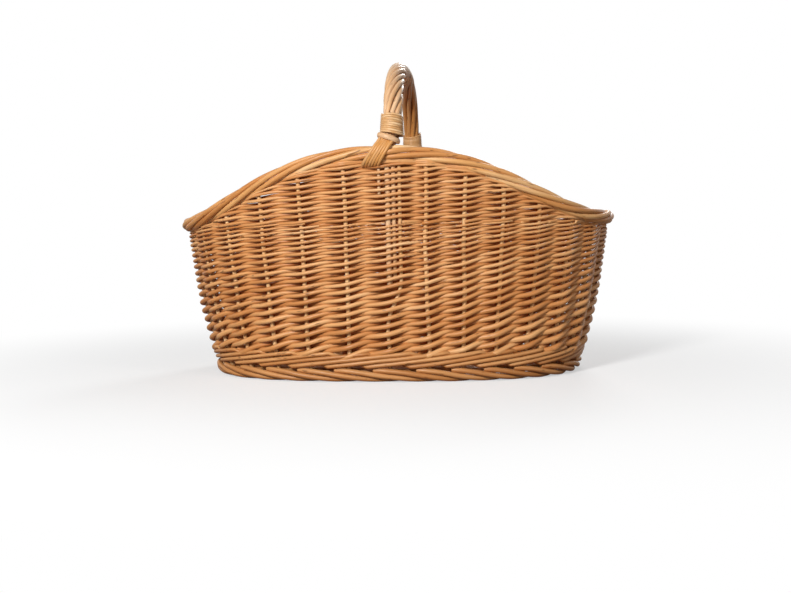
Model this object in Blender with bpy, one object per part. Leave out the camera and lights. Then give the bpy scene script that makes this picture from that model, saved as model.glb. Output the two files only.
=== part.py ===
"""Oval willow foraging basket with a humped rim and a roped bow handle.

X runs along the basket, -Y is its front and +Z is up. The origin is the middle
of the face that it stands on. Lengths are in metres.

The plan is an oval on which the stakes are numbered from the +X end, turning
left as seen from above: stake 7 stands at the middle of the back and stake 21
at the middle of the front. A place on the wall is a stake number, which may
lie between two stakes, a height, and a distance out from the stakes' middles.
"""
import math

import bmesh
import bpy
import numpy as np

# Plan and profile of the wall, measured to the middles of the stakes
STAKE_COUNT = 28
OVAL_POWER = 2.35
FOOT_HALF_LENGTH = 0.292
FOOT_HALF_WIDTH = 0.182
WAIST_HEIGHT = 0.115
WAIST_HALF_LENGTH = 0.321
WAIST_HALF_WIDTH = 0.202
SHOULDER_HEIGHT = 0.222
SHOULDER_HALF_LENGTH = 0.338
SHOULDER_HALF_WIDTH = 0.216
PEAK_HALF_LENGTH = 0.357
PEAK_HALF_WIDTH = 0.223

# Uneven bays: at these stake numbers a stake stands so many bays past its even place
SHIFTED_NUMBERS = (0, 3, 7, 19, 20, 21, 22, 24, 26, 27, 28)
SHIFT_BAYS = (-0.62, -0.42, 0.0, 0.0, 0.07, 0.0, -0.08, -0.30, -0.48, -0.58, -0.62)

# Rim
RIM_END_TOP = 0.262
RIM_PEAK_TOP = 0.3635
HUMP_POWER = 3.7
RIM_END_OVERHANG = 0.005

# Clearances
SEAT_GAP = 0.0003
WEAVE_GAP = 0.0004
TURN_GAP = 0.0010

# Stakes, each bent over at the top to become one strand of the rim border
STAKE_RADIUS = 0.0035
RIM_STRAND_RADIUS = 0.0038
RIM_STRAND_GAP = 0.0010
RIM_STRANDS_ROUND = 5
RIM_START_ANGLE = -18.0
RIM_JOIN_BAYS = 0.3
RIM_END_BAYS = 3.75
RIM_POINTS_PER_BAY = 2
BEND_DROP = 0.0145
BEND_AHEAD_SHARES = (0.3, 0.65)
BEND_OUT_SHARES = (0.4, 0.85)
BEND_UP_SHARES = (0.3, 0.65)

# Foot ring
FOOT_RADIUS = 0.0078
FOOT_FLAT = 0.0005
FOOT_POINTS_PER_BAY = 2

# Base
BASE_THICKNESS = 0.006
BASE_POINTS_PER_BAY = 1
STICK_WIDTH = 0.008
STICK_HEIGHT = 0.005
STICK_SINK = 0.0024
LONG_STICKS = 3
LONG_STICK_SPACING = 0.052
CROSS_STICKS = 5
CROSS_STICK_SPACING = 0.098

# Upsett and side weaving: rods that run side by side up the wall
WEAVER_COUNT = 4
UPSETT_ROWS = 3
UPSETT_PITCH = 0.0076
BAND_ROWS = 22
BUTT_PITCH = 0.0082
TIP_PITCH = 0.0046
BAND_END_TOP = 0.2335
BAND_PEAK_TOP = 0.2440

# Packing of the two humps
PACKING_PITCH = 0.0068
PACKING_RIM_DROP = 0.0185
PACKING_TURN_BAYS = 0.25

# Handle
HANDLE_ASIDE = 0.005
HANDLE_TOP = 0.507
BOW_POWER = 2.5
BOW_RADIUS = 0.006
BOW_NECK_RADIUS = 0.0032
BOW_TIP_RADIUS = 0.0018
BOW_BELOW_SHOULDER = 0.057
BOW_POINTS = 41
LINER_RADIUS = 0.0029
LINER_TIP_RADIUS = 0.0016
LINER_BELOW_SHOULDER = 0.037
LINER_ABOVE_RIM = 0.006
LEAN_START = 0.085
LEAN_END = 0.160
RIM_SPREAD = 0.0052
RIM_SPREAD_REACH = 0.036
ROPE_RODS = 4
ROPE_RADIUS = 0.0037
ROPE_TURNS = 4
ROPE_POINTS_PER_TURN = 8
ROPE_SPACING_AT_BINDING = 50.0
ROPE_EASE = 0.3
FAN_TOP_ANGLE = 65.0
FAN_END_ANGLE = -40.0
FAN_POINTS = 5
FAN_SLANT = 0.026
FAN_SPACING = 0.0112
FAN_TOP_ASIDE = -0.0060

# Bindings round the handle's legs
BINDING_RADIUS = 0.0013
BINDING_LOOPS = 8
BINDING_PITCH = 0.0035
BINDING_POINTS_PER_LOOP = 12
BINDING_ABOVE_RIM = 0.020

# Fineness of the tubes: even numbers of sides, from 4 up
WEAVER_SIDE_COUNT = 4
STAKE_SIDE_COUNT = 6
BOW_SIDE_COUNT = 8
OVAL_TABLE_STEPS = 5600
CUT_OVERRUN = 0.004

# Colours
PEELED_WILLOW = (0.56, 0.31, 0.12)
BUFF_WILLOW = (0.50, 0.25, 0.09)
PALE_WILLOW = (0.64, 0.40, 0.17)
ROD_ROUGHNESS = 0.5

FRONT_STAKE = STAKE_COUNT * 3 // 4
BACK_STAKE = STAKE_COUNT // 4
RIM_MIDDLE_RADIUS = (RIM_STRAND_RADIUS + RIM_STRAND_GAP / 2) / math.sin(math.pi / RIM_STRANDS_ROUND)
RIM_RADIUS = RIM_MIDDLE_RADIUS + RIM_STRAND_RADIUS
FOOT_HALF_HEIGHT = FOOT_RADIUS * math.cos(math.pi / 6.0)
FOOT_MIDDLE_HEIGHT = FOOT_HALF_HEIGHT - FOOT_FLAT
FOOT_TOP = FOOT_MIDDLE_HEIGHT + FOOT_HALF_HEIGHT
FOOT_LEAN = math.atan2(WAIST_HALF_LENGTH - FOOT_HALF_LENGTH, WAIST_HEIGHT - FOOT_TOP)
STAKE_BOTTOM = FOOT_TOP + SEAT_GAP + STAKE_RADIUS * math.sin(FOOT_LEAN)
BASE_BOTTOM = FOOT_TOP + SEAT_GAP
BASE_TOP = BASE_BOTTOM + BASE_THICKNESS
UPSETT_RADIUS = (UPSETT_PITCH - WEAVE_GAP) / 2
UPSETT_BOTTOM = BASE_TOP + SEAT_GAP + UPSETT_RADIUS
BAND_BOTTOM = UPSETT_BOTTOM + UPSETT_ROWS * UPSETT_PITCH
WALL_HEIGHTS = (FOOT_MIDDLE_HEIGHT, WAIST_HEIGHT, SHOULDER_HEIGHT, RIM_PEAK_TOP)
WALL_HALF_LENGTHS = (FOOT_HALF_LENGTH, WAIST_HALF_LENGTH, SHOULDER_HALF_LENGTH, PEAK_HALF_LENGTH)
WALL_HALF_WIDTHS = (FOOT_HALF_WIDTH, WAIST_HALF_WIDTH, SHOULDER_HALF_WIDTH, PEAK_HALF_WIDTH)


def clear_scene():
    for item in list(bpy.data.objects):
        bpy.data.objects.remove(item, do_unlink=True)


def make_collection(name):
    collection = bpy.data.collections.new(name)
    bpy.context.scene.collection.children.link(collection)
    return collection


def willow(name, colour):
    material = bpy.data.materials.new(name)
    material.use_nodes = True
    shader = material.node_tree.nodes["Principled BSDF"]
    shader.inputs["Base Color"].default_value = (*colour, 1.0)
    shader.inputs["Roughness"].default_value = ROD_ROUGHNESS
    shader.inputs["Metallic"].default_value = 0.0
    material.diffuse_color = (*colour, 1.0)
    return material


def make_oval_table():
    """Angles round the unit oval, and the stake number that each one has."""
    angle = np.linspace(0.0, 2.0 * math.pi, OVAL_TABLE_STEPS + 1)
    across, along = unit_oval(angle)
    steps = np.hypot(np.diff(across * SHOULDER_HALF_LENGTH), np.diff(along * SHOULDER_HALF_WIDTH))
    number = np.concatenate(([0.0], np.cumsum(steps)))
    return angle, number * STAKE_COUNT / number[-1]


def unit_oval(angle):
    cosine = np.cos(angle)
    sine = np.sin(angle)
    across = np.sign(cosine) * np.abs(cosine) ** (2.0 / OVAL_POWER)
    along = np.sign(sine) * np.abs(sine) ** (2.0 / OVAL_POWER)
    return across, along


def stake_angle(number):
    angles, numbers = OVAL_TABLE
    number = np.mod(number, STAKE_COUNT)
    even = number + np.interp(number, SHIFTED_NUMBERS, SHIFT_BAYS)
    return np.interp(np.mod(even, STAKE_COUNT), numbers, angles)


def wall_axes(height):
    half_length = np.interp(height, WALL_HEIGHTS, WALL_HALF_LENGTHS)
    half_width = np.interp(height, WALL_HEIGHTS, WALL_HALF_WIDTHS)
    return half_length, half_width


def wall_normal(number, height):
    """The level direction that points straight out of the wall."""
    across, along = unit_oval(stake_angle(number))
    half_length, half_width = wall_axes(height)
    normal_x = np.sign(across) * np.abs(across) ** (OVAL_POWER - 1.0) / half_length
    normal_y = np.sign(along) * np.abs(along) ** (OVAL_POWER - 1.0) / half_width
    size = np.hypot(normal_x, normal_y)
    return np.array([normal_x / size, normal_y / size, 0.0])


def wall_point(number, height, out=0.0):
    across, along = unit_oval(stake_angle(number))
    half_length, half_width = wall_axes(height)
    middle = np.array([across * half_length, along * half_width, height])
    return middle + wall_normal(number, height) * out


def bay_length(number, height):
    """Distance along the wall from one stake to the next."""
    ahead = wall_point(number + 0.5, height)
    behind = wall_point(number - 0.5, height)
    return np.linalg.norm(ahead - behind)


def hump(number):
    """Share of the hump at a place: 0 at the two ends, 1 at front and back."""
    return np.abs(np.sin(stake_angle(number))) ** HUMP_POWER


def rim_height(number):
    top = RIM_END_TOP + (RIM_PEAK_TOP - RIM_END_TOP) * hump(number)
    return top - RIM_RADIUS


def rim_middle(number):
    """Middle of the border, which overhangs the wall at the two ends."""
    overhang = RIM_END_OVERHANG * (1.0 - hump(number))
    return wall_point(number, rim_height(number), overhang)


def rim_frame(number):
    """Middle of the border, its outward direction and its upward direction."""
    step = 1.0 / RIM_POINTS_PER_BAY / STAKE_COUNT
    middle = rim_middle(number)
    ahead = rim_middle(number + step)
    behind = rim_middle(number - step)
    forward = (ahead - behind) / np.linalg.norm(ahead - behind)
    outward = wall_normal(number, middle[2])
    return middle, outward, np.cross(outward, forward)


def handle_facing(stake):
    """-1 at the front leg of the handle, +1 at the back leg."""
    return -1.0 if stake == FRONT_STAKE else 1.0


def beside_handle(facing, right, height, out=0.0):
    """A point at a leg: right is along the wall as seen from outside."""
    half_width = wall_axes(height)[1]
    return np.array([HANDLE_ASIDE - facing * right, facing * (half_width + out), height])


def stake_shift():
    """How far right of the bow the leaning middle stake stands."""
    return STAKE_RADIUS + BOW_NECK_RADIUS + 2.0 * WEAVE_GAP


def liner_shift():
    """How far left of the bow its liner stands."""
    return LINER_RADIUS + BOW_NECK_RADIUS + 2.0 * WEAVE_GAP


def is_handle_stake(number):
    return int(number) % STAKE_COUNT in (FRONT_STAKE, BACK_STAKE)


def rim_spread(point):
    """How far the border's strands are pushed apart by the handle beside them."""
    distance = abs(point[0] - HANDLE_ASIDE)
    if distance >= RIM_SPREAD_REACH:
        return 0.0
    return RIM_SPREAD * (1.0 + math.cos(math.pi * distance / RIM_SPREAD_REACH)) / 2.0


def tube(name, points, radii, sides, material, upright=False, ring=False):
    """A rod along the points: a curve with a round bevel and filled ends."""
    least_sides = 4
    curve = bpy.data.curves.new(name, "CURVE")
    curve.dimensions = "3D"
    curve.resolution_u = 1
    curve.bevel_depth = max(radii)
    curve.bevel_resolution = (sides - least_sides) // 2
    curve.use_fill_caps = not ring
    curve.twist_mode = "Z_UP" if upright else "MINIMUM"
    spline = curve.splines.new("POLY")
    spline.points.add(len(points) - 1)
    spline.use_cyclic_u = ring
    for place, radius, control in zip(points, radii, spline.points):
        control.co = (*place, 1.0)
        control.radius = radius / curve.bevel_depth
    spline.use_smooth = True
    curve.materials.append(material)
    item = bpy.data.objects.new(name, curve)
    PARTS.objects.link(item)
    return item


def curve_to_mesh(item):
    """Swaps a curve for the closed mesh that it draws."""
    bpy.context.view_layer.update()
    evaluated = item.evaluated_get(bpy.context.evaluated_depsgraph_get())
    mesh = bpy.data.meshes.new_from_object(evaluated)
    work = bmesh.new()
    work.from_mesh(mesh)
    bmesh.ops.remove_doubles(work, verts=work.verts, dist=SEAT_GAP / 10.0)
    work.to_mesh(mesh)
    work.free()
    name = item.name
    solid = bpy.data.objects.new(name + "_solid", mesh)
    solid.matrix_world = item.matrix_world.copy()
    bpy.data.objects.remove(item, do_unlink=True)
    solid.name = name
    PARTS.objects.link(solid)
    return solid


def box(name, low, high, collection, material=None):
    bpy.ops.mesh.primitive_cube_add(size=1.0)
    item = bpy.context.object
    item.name = name
    item.data.name = name
    low = np.array(low)
    high = np.array(high)
    item.scale = high - low
    item.location = (high + low) / 2.0
    bpy.ops.object.transform_apply(location=False, rotation=False, scale=True)
    for owner in list(item.users_collection):
        owner.objects.unlink(item)
    collection.objects.link(item)
    if material:
        item.data.materials.append(material)
    return item


def cut(item, cutter):
    cutter.hide_render = True
    cutter.display_type = "WIRE"
    difference = item.modifiers.new("cut_" + cutter.name, "BOOLEAN")
    difference.operation = "DIFFERENCE"
    difference.solver = "EXACT"
    difference.object = cutter


def border_point(stake, number):
    """Where the strand of a stake lies in the rim at a place along it."""
    middle, outward, upward = rim_frame(number)
    angle = math.radians(RIM_START_ANGLE + 360.0 / RIM_STRANDS_ROUND * (number - stake))
    out = RIM_MIDDLE_RADIUS * math.cos(angle)
    handle_stake = FRONT_STAKE if middle[1] < 0.0 else BACK_STAKE
    passed = np.mod(handle_stake - stake, STAKE_COUNT)
    side = 1.0 if passed < RIM_END_BAYS / 2.0 - RIM_JOIN_BAYS else -1.0
    out += side * rim_spread(middle)
    return middle + outward * out + upward * RIM_MIDDLE_RADIUS * math.sin(angle)


def stake_foot_points(stake):
    """The straight part of a stake, from the foot ring up to its bend."""
    if not is_handle_stake(stake):
        heights = (STAKE_BOTTOM, WAIST_HEIGHT, SHOULDER_HEIGHT)
        return [wall_point(stake, height) for height in heights], 0.0
    facing = handle_facing(stake)
    points = [wall_point(stake, STAKE_BOTTOM), wall_point(stake, LEAN_START)]
    for height in (LEAN_END, SHOULDER_HEIGHT):
        points.append(beside_handle(facing, stake_shift(), height))
    aside = stake_shift() - facing * HANDLE_ASIDE
    return points, aside / bay_length(stake, SHOULDER_HEIGHT)


def make_stake(stake, material):
    points, ahead = stake_foot_points(stake)
    start = stake + ahead
    points.append(wall_point(start, rim_height(start) - BEND_DROP))
    radii = [STAKE_RADIUS] * len(points)
    join = border_point(stake, start + RIM_JOIN_BAYS)
    for forward, out, up in zip(BEND_AHEAD_SHARES, BEND_OUT_SHARES, BEND_UP_SHARES):
        number = start + RIM_JOIN_BAYS * forward
        middle, outward, upward = rim_frame(number)
        target = border_point(stake, number)
        reach = np.dot(target - middle, outward)
        rise = np.dot(join - rim_frame(start + RIM_JOIN_BAYS)[0], upward)
        lift = rise * up - BEND_DROP * (1.0 - up)
        points.append(middle + outward * reach * out + upward * lift)
        radii.append(STAKE_RADIUS)
    first = start + RIM_JOIN_BAYS
    last = stake + RIM_END_BAYS
    sections = np.arange(0.0, RIM_END_BAYS, 1.0 / RIM_POINTS_PER_BAY) + stake
    between = [number for number in sections if first < number < last]
    for number in [first] + between + [last]:
        points.append(border_point(stake, number))
        radii.append(RIM_STRAND_RADIUS)
    tube("stake_%02d" % (stake + 1), points, radii, STAKE_SIDE_COUNT, material)


def make_foot_ring(material):
    """The ring that the basket stands on, cut flat underneath."""
    count = STAKE_COUNT * FOOT_POINTS_PER_BAY
    numbers = np.arange(count) / FOOT_POINTS_PER_BAY
    points = [wall_point(number, FOOT_MIDDLE_HEIGHT) for number in numbers]
    ring = tube("foot_ring", points, [FOOT_RADIUS] * count, STAKE_SIDE_COUNT, material, True, True)
    ring = curve_to_mesh(ring)
    reach_x = FOOT_HALF_LENGTH + FOOT_RADIUS + CUT_OVERRUN
    reach_y = FOOT_HALF_WIDTH + FOOT_RADIUS + CUT_OVERRUN
    floor = box("floor_cutter", (-reach_x, -reach_y, -CUT_OVERRUN), (reach_x, reach_y, 0.0), CUTTERS)
    cut(ring, floor)


def inside_half_width(place_x, inset):
    """Half the width of the foot's oval at a place along it, less an inset."""
    half_length = FOOT_HALF_LENGTH - inset
    half_width = FOOT_HALF_WIDTH - inset
    return half_width * (1.0 - (abs(place_x) / half_length) ** OVAL_POWER) ** (1.0 / OVAL_POWER)


def make_base(material, stick_material):
    """The woven floor: a plate with its sticks let in, long ones above."""
    edge = STAKE_RADIUS + SEAT_GAP
    numbers = np.arange(STAKE_COUNT * BASE_POINTS_PER_BAY) / BASE_POINTS_PER_BAY
    outline = bpy.data.curves.new("base_weave", "CURVE")
    outline.dimensions = "2D"
    outline.fill_mode = "BOTH"
    outline.extrude = BASE_THICKNESS / 2.0
    outline.resolution_u = 1
    spline = outline.splines.new("POLY")
    spline.points.add(len(numbers) - 1)
    for number, control in zip(numbers, spline.points):
        place = wall_point(number, FOOT_MIDDLE_HEIGHT, -edge)
        control.co = (place[0], place[1], 0.0, 1.0)
    spline.use_cyclic_u = True
    outline.materials.append(material)
    plate = bpy.data.objects.new("base_weave", outline)
    plate.location = (0.0, 0.0, BASE_BOTTOM + BASE_THICKNESS / 2.0)
    PARTS.objects.link(plate)
    plate = curve_to_mesh(plate)
    long_inset = STAKE_RADIUS + 2.0 * UPSETT_RADIUS + FOOT_RADIUS
    for index in range(LONG_STICKS):
        middle = (index - (LONG_STICKS - 1) / 2.0) * LONG_STICK_SPACING
        share = 1.0 - (abs(middle) / (FOOT_HALF_WIDTH - long_inset)) ** OVAL_POWER
        reach = (FOOT_HALF_LENGTH - long_inset) * share ** (1.0 / OVAL_POWER)
        low = np.array([-reach, middle - STICK_WIDTH / 2.0, BASE_TOP - STICK_SINK])
        high = np.array([reach, middle + STICK_WIDTH / 2.0, BASE_TOP - STICK_SINK + STICK_HEIGHT])
        make_stick("base_long_stick_%d" % (index + 1), low, high, plate, stick_material)
    cross_inset = FOOT_RADIUS + 2.0 * SEAT_GAP
    for index in range(CROSS_STICKS):
        middle = (index - (CROSS_STICKS - 1) / 2.0) * CROSS_STICK_SPACING
        reach = inside_half_width(abs(middle) + STICK_WIDTH / 2.0, cross_inset)
        top = BASE_BOTTOM + STICK_SINK
        low = np.array([middle - STICK_WIDTH / 2.0, -reach, top - STICK_HEIGHT])
        high = np.array([middle + STICK_WIDTH / 2.0, reach, top])
        make_stick("base_cross_stick_%d" % (index + 1), low, high, plate, stick_material)


def make_stick(name, low, high, plate, material):
    """A stick, with its groove cut into the plate around it."""
    box(name, low, high, PARTS, material)
    margin = np.array([SEAT_GAP, SEAT_GAP, SEAT_GAP])
    groove = box(name + "_groove", low - margin, high + margin, CUTTERS)
    cut(plate, groove)


def band_top(number):
    return BAND_END_TOP + (BAND_PEAK_TOP - BAND_END_TOP) * hump(number)


def band_share(row):
    """Share of the woven band's height reached by a row, the lower rows thicker."""
    thinning = (TIP_PITCH - BUTT_PITCH) / BAND_ROWS
    height = BUTT_PITCH * row + thinning * row * row / 2.0
    return height / (BAND_ROWS * (BUTT_PITCH + TIP_PITCH) / 2.0)


def row_height(row, number):
    if row < 0.0:
        return BAND_BOTTOM + row * UPSETT_PITCH
    return BAND_BOTTOM + (band_top(number) - BAND_BOTTOM) * band_share(row)


def row_radius(row):
    """Half of a row's pitch, and less for the first row, over the upsett."""
    band = BAND_END_TOP - BAND_BOTTOM
    radius = (band * (band_share(row + 0.5) - band_share(row - 0.5)) - WEAVE_GAP) / 2.0
    if row >= 1.0:
        return radius
    room = band * band_share(row) + (1.0 - row) * UPSETT_PITCH - UPSETT_RADIUS - WEAVE_GAP
    return min(radius, room)


def pass_out(number, height, side, radius):
    """How far out a rod's middle passes a stake, more where the wall turns."""
    clear = STAKE_RADIUS + radius + WEAVE_GAP
    here = wall_normal(number, height)
    ahead = wall_normal(number + 1.0, height)
    half_turn = math.acos(min(1.0, float(np.dot(here, ahead)))) / 2.0
    bay = bay_length(number, height)
    if is_handle_stake(number - 1) or is_handle_stake(number + 1):
        bay -= stake_shift() + STAKE_RADIUS + HANDLE_ASIDE
    crossing = math.atan2(2.0 * clear, bay)
    return side * clear / math.cos(max(0.0, crossing + side * half_turn))


def pass_stake(number, height, side, radius):
    """One or two points that carry a rod past a stake, outside or inside it."""
    out = pass_out(number, height, side, radius)
    if not is_handle_stake(number) or height < LEAN_START:
        return [wall_point(number, height, out)]
    facing = handle_facing(int(number) % STAKE_COUNT)
    left = -liner_shift() - LINER_RADIUS
    right = stake_shift() + STAKE_RADIUS
    if height < LEAN_END:
        left = min(0.0, facing * HANDLE_ASIDE)
    return [beside_handle(facing, right_way, height, out) for right_way in (left, right)]


def make_upsett(index, material):
    """A thick rod outside two stakes and inside the next, at the wall's foot."""
    points = []
    radii = []
    bays_per_row = STAKE_COUNT // WEAVER_COUNT
    for step in range(UPSETT_ROWS * bays_per_row + 1):
        number = index * bays_per_row + step
        row = step / bays_per_row - UPSETT_ROWS
        side = -1.0 if (number + index) % 3 == 0 else 1.0
        passed = pass_stake(number, row_height(row, number), side, UPSETT_RADIUS)
        points.extend(passed)
        radii.extend([UPSETT_RADIUS] * len(passed))
    tube("upsett_rod_%d" % (index + 1), points, radii, WEAVER_SIDE_COUNT, material, True)


def make_weaver(index, material):
    """A rod woven over one stake and under the next, up to the top of the band."""
    points = []
    radii = []
    bays_per_row = STAKE_COUNT // WEAVER_COUNT
    first = (index + UPSETT_ROWS) * bays_per_row
    start = first + 0.5
    row = 0.5 / bays_per_row
    points.append(wall_point(start, row_height(row, start)))
    radii.append(row_radius(row))
    for step in range(1, BAND_ROWS * bays_per_row + 1):
        number = first + step
        row = step / bays_per_row
        side = 1.0 if (number + index) % 2 == 0 else -1.0
        radius = row_radius(row)
        passed = pass_stake(number, row_height(row, number), side, radius)
        points.extend(passed)
        radii.extend([radius] * len(passed))
    tube("side_weaver_%d" % (index + 1), points, radii, WEAVER_SIDE_COUNT, material, True)


def packing_height(row, number):
    return band_top(number) + (row + 1.0) * PACKING_PITCH


def packing_reach(row, middle_stake):
    """How many stakes to each side of the middle a packing row can pass."""
    reach = 0
    while reach < BACK_STAKE:
        number = middle_stake + reach + 1.0
        room = min(rim_height(number), rim_height(number + PACKING_TURN_BAYS)) - PACKING_RIM_DROP
        if packing_height(row, number) > room:
            break
        reach += 1
    return reach


def packing_turn(row, turn_stake, direction, side, radius):
    """The points where the rod turns round a stake, up to the next row."""
    reach = (STAKE_RADIUS + radius + WEAVE_GAP) / math.cos(math.pi / 8.0)
    low = packing_height(row, turn_stake)
    high = packing_height(row + 1, turn_stake)
    points = []
    for turned in (0.25, 0.5, 0.75):
        angle = math.pi * turned
        beyond = reach * math.sin(angle) / bay_length(turn_stake, SHOULDER_HEIGHT)
        out = side * reach * math.cos(angle)
        height = low + (high - low) * turned
        points.append(wall_point(turn_stake + beyond * direction, height, out))
    return points


def make_packing(name, middle_stake, material):
    """One rod woven to and fro to fill a hump, turning back sooner each row."""
    radius = (PACKING_PITCH - WEAVE_GAP) / 2.0
    points = []
    row = 0
    side = 1.0
    direction = 1
    step = -packing_reach(0, middle_stake)
    while packing_reach(row, middle_stake) > 0:
        next_reach = packing_reach(row + 1, middle_stake)
        last = direction * (next_reach if next_reach else packing_reach(row, middle_stake))
        while step * direction <= last * direction:
            number = middle_stake + step
            passed = pass_stake(number, packing_height(row, number), side, radius)
            points.extend(passed if direction > 0 else passed[::-1])
            side = -side
            step += direction
        step = last
        if next_reach:
            points.extend(packing_turn(row, middle_stake + last, direction, -side, radius))
        direction = -direction
        row += 1
    tube(name, points, [radius] * len(points), WEAVER_SIDE_COUNT, material, True)


def make_bow_table():
    """Shares of the bow's length from front to back, with their y and height."""
    half_span, spring, rise = bow_sizes()
    angle = np.linspace(0.0, math.pi, OVAL_TABLE_STEPS + 1)
    cosine = np.cos(angle)
    sweep = -half_span * np.sign(cosine) * np.abs(cosine) ** (2.0 / BOW_POWER)
    height = spring + rise * np.abs(np.sin(angle)) ** (2.0 / BOW_POWER)
    length = np.concatenate(([0.0], np.cumsum(np.hypot(np.diff(sweep), np.diff(height)))))
    return length / length[-1], sweep, height


def bow_sizes():
    spring = rim_height(FRONT_STAKE)
    half_span = wall_axes(spring)[1]
    rise = HANDLE_TOP - BOW_RADIUS - TURN_GAP - 2.0 * ROPE_RADIUS - spring
    return half_span, spring, rise


def bow_line(length_share):
    """Middle of the bow above the rim, from front to back, and its outer side."""
    shares, sweep, height = BOW_TABLE
    step = 1.0 / BOW_POINTS / ROPE_POINTS_PER_TURN
    around = np.clip([length_share - step, length_share, length_share + step], 0.0, 1.0)
    y = np.interp(around, shares, sweep)
    z = np.interp(around, shares, height)
    size = math.hypot(y[2] - y[0], z[2] - z[0])
    outer = np.array([0.0, (z[0] - z[2]) / size, (y[2] - y[0]) / size])
    return np.array([HANDLE_ASIDE, y[1], z[1]]), outer


def bow_share_at(height):
    """Share of the bow's length at which its front leg reaches a height."""
    shares, sweep, heights = BOW_TABLE
    half = OVAL_TABLE_STEPS // 2
    return float(np.interp(height, heights[:half], shares[:half]))


def make_bow(material):
    """The handle's core rod, pointed at both ends and pushed down the wall."""
    tip_bottom = SHOULDER_HEIGHT - BOW_BELOW_SHOULDER
    tip_heights = np.array([tip_bottom, SHOULDER_HEIGHT, rim_height(FRONT_STAKE)])
    tip_radii = np.interp(tip_heights, tip_heights[[0, 2]], (BOW_TIP_RADIUS, BOW_NECK_RADIUS))
    front = [beside_handle(-1.0, 0.0, height) for height in tip_heights]
    back = [beside_handle(1.0, 0.0, height) for height in tip_heights]
    full_share = bow_share_at(binding_bottom() + BINDING_LOOPS * BINDING_PITCH)
    shares = np.linspace(0.0, 1.0, BOW_POINTS)[1:-1]
    arch = [bow_line(share)[0] for share in shares]
    arch_radii = np.interp(np.minimum(shares, 1.0 - shares), (0.0, full_share), (BOW_NECK_RADIUS, BOW_RADIUS))
    points = front + arch + back[::-1]
    radii = list(tip_radii) + list(arch_radii) + list(tip_radii[::-1])
    tube("handle_bow", points, radii, BOW_SIDE_COUNT, material)


def make_liner(name, facing, material):
    """A thin rod beside the bow's point, from the weave up between the strands."""
    rim = rim_height(FRONT_STAKE)
    heights = (SHOULDER_HEIGHT - LINER_BELOW_SHOULDER, SHOULDER_HEIGHT, rim + LINER_ABOVE_RIM)
    points = [beside_handle(facing, -liner_shift(), height) for height in heights]
    tube(name, points, [LINER_TIP_RADIUS, LINER_RADIUS, LINER_RADIUS], STAKE_SIDE_COUNT, material)


def binding_bottom():
    return RIM_PEAK_TOP + BINDING_ABOVE_RIM


def rope_middle_radius():
    return BOW_RADIUS + TURN_GAP + ROPE_RADIUS


def around_bow(share, angle, radius):
    """A point round the bow: the angle starts at its outer side, towards +X."""
    middle, outer = bow_line(share)
    across = np.array([1.0, 0.0, 0.0])
    return middle + radius * (outer * math.cos(angle) + across * math.sin(angle))


def fan_points(rod, facing):
    """The end of a rope rod, over the outside of the rim, from the tuck upward."""
    order = rod if facing < 0.0 else ROPE_RODS - 1 - rod
    points = []
    for angle in np.linspace(FAN_END_ANGLE, FAN_TOP_ANGLE, FAN_POINTS):
        risen = (angle - FAN_END_ANGLE) / (FAN_TOP_ANGLE - FAN_END_ANGLE)
        right = FAN_TOP_ASIDE + (order - (ROPE_RODS - 1) / 2.0) * FAN_SPACING
        right -= FAN_SLANT * (1.0 - risen)
        stake = FRONT_STAKE if facing < 0.0 else BACK_STAKE
        aside = right - facing * HANDLE_ASIDE
        number = stake + aside / bay_length(stake, RIM_PEAK_TOP)
        middle, outward, upward = rim_frame(number)
        reach = RIM_RADIUS + ROPE_RADIUS + TURN_GAP
        out = reach * math.cos(math.radians(angle)) + rim_spread(middle)
        points.append(middle + outward * out + upward * reach * math.sin(math.radians(angle)))
    return points


def make_rope_rod(rod, material):
    """A rod from the front fan, wound along the bow, to the back fan."""
    low = bow_share_at(binding_bottom())
    high = bow_share_at(binding_bottom() + BINDING_LOOPS * BINDING_PITCH)
    count = ROPE_TURNS * ROPE_POINTS_PER_TURN + 1
    shares = [low] + list(np.linspace(high, 1.0 - high, count)) + [1.0 - low]
    points = fan_points(rod, -1.0)
    for share in shares:
        wound = np.clip((share - high) / (1.0 - 2.0 * high), 0.0, 1.0)
        ease = min(1.0, wound / ROPE_EASE, (1.0 - wound) / ROPE_EASE)
        spacing = ROPE_SPACING_AT_BINDING + (360.0 / ROPE_RODS - ROPE_SPACING_AT_BINDING) * ease
        angle = 360.0 * ROPE_TURNS * wound + (rod - (ROPE_RODS - 1) / 2.0) * spacing
        points.append(around_bow(share, math.radians(angle), rope_middle_radius()))
    points.extend(fan_points(rod, 1.0)[::-1])
    tube("handle_rope_%d" % (rod + 1), points, [ROPE_RADIUS] * len(points), STAKE_SIDE_COUNT, material)


def binding_points(facing):
    """The loops round a leg, with an end that runs straight at each side."""
    radius = rope_middle_radius() + ROPE_RADIUS + BINDING_RADIUS + TURN_GAP
    steps = np.arange(BINDING_LOOPS * BINDING_POINTS_PER_LOOP + 1) / BINDING_POINTS_PER_LOOP
    points = []
    for turn in steps:
        share = bow_share_at(binding_bottom() + BINDING_RADIUS + turn * BINDING_PITCH)
        share = share if facing < 0.0 else 1.0 - share
        points.append(around_bow(share, 2.0 * math.pi * turn, radius))
    first = points[0] - points[1]
    last = points[-1] - points[-2]
    points.insert(0, points[0] + first / np.linalg.norm(first) * 2.0 * BINDING_RADIUS)
    points.append(points[-1] + last / np.linalg.norm(last) * 2.0 * BINDING_RADIUS)
    return points


def least_gap(points, radius):
    """Smallest clear distance between a tube's points a third of a loop apart."""
    places = np.array(points)
    apart = np.linalg.norm(places[:, None, :] - places[None, :, :], axis=2)
    index = np.arange(len(places))
    steps = np.abs(index[:, None] - index[None, :])
    return apart[steps > BINDING_POINTS_PER_LOOP // 3].min() - 2.0 * radius


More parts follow.
